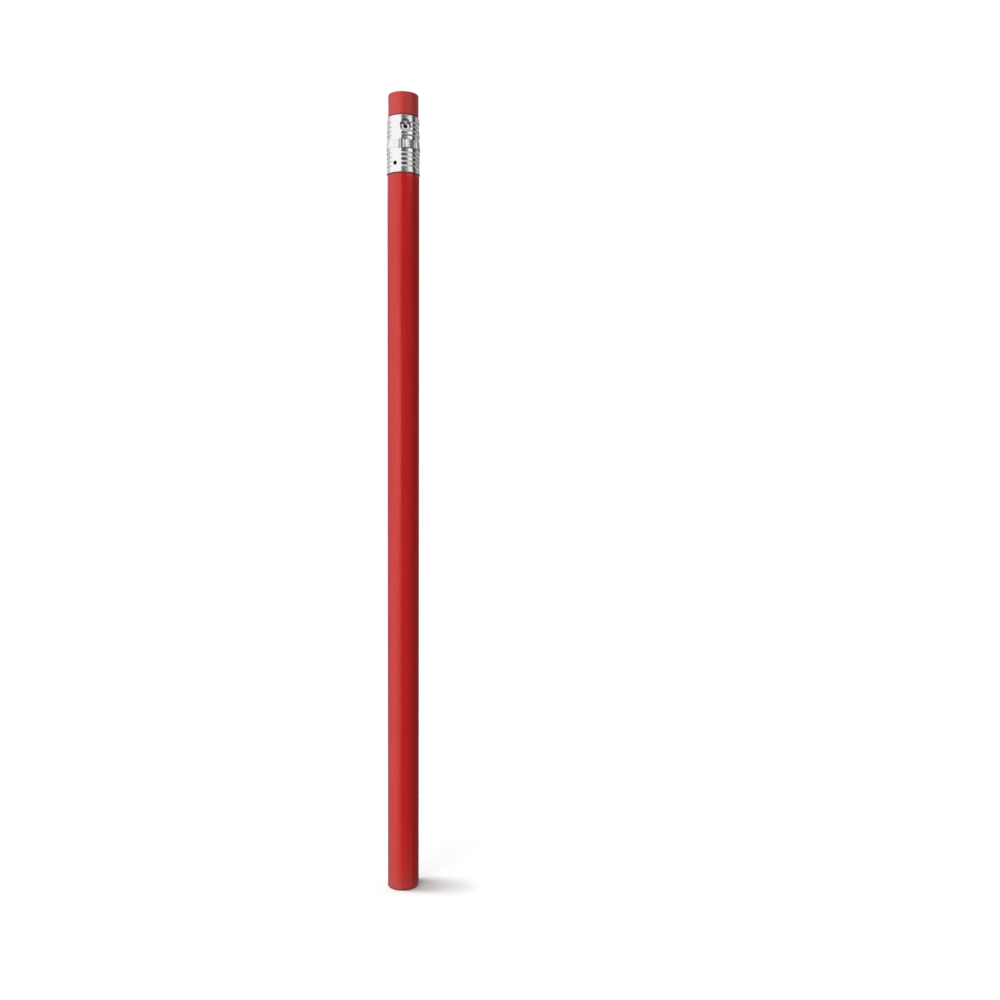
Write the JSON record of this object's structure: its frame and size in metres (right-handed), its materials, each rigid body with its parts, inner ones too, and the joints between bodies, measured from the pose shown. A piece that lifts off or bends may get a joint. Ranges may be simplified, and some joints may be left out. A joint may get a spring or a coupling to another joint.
{
  "type": "pencil with eraser",
  "caption": "Round wood-cased graphite pencil, unsharpened, with a glossy red lacquer coat and a matching eraser in a crimped, serrated aluminium ferrule.",
  "frame": {"origin": "middle of the square-cut base", "axes": "+Z along the pencil's axis from the base to the eraser, -Y towards the viewer, +X to the right"},
  "size_m": [0.0078, 0.0078, 0.19],
  "materials": {
    "wood": "matte",
    "glue": "satin",
    "graphite": "satin",
    "lacquer": "gloss",
    "ferrule": "polished",
    "eraser": "matte"
  },
  "bodies": {
    "root": {"casing_half_front": "wood", "casing_half_back": "wood", "glue_seam_left": "glue", "glue_seam_right": "glue", "graphite_core": "graphite", "lacquer_coat": "lacquer", "ferrule": "ferrule", "eraser": "eraser"}
  },
  "joints": []
}
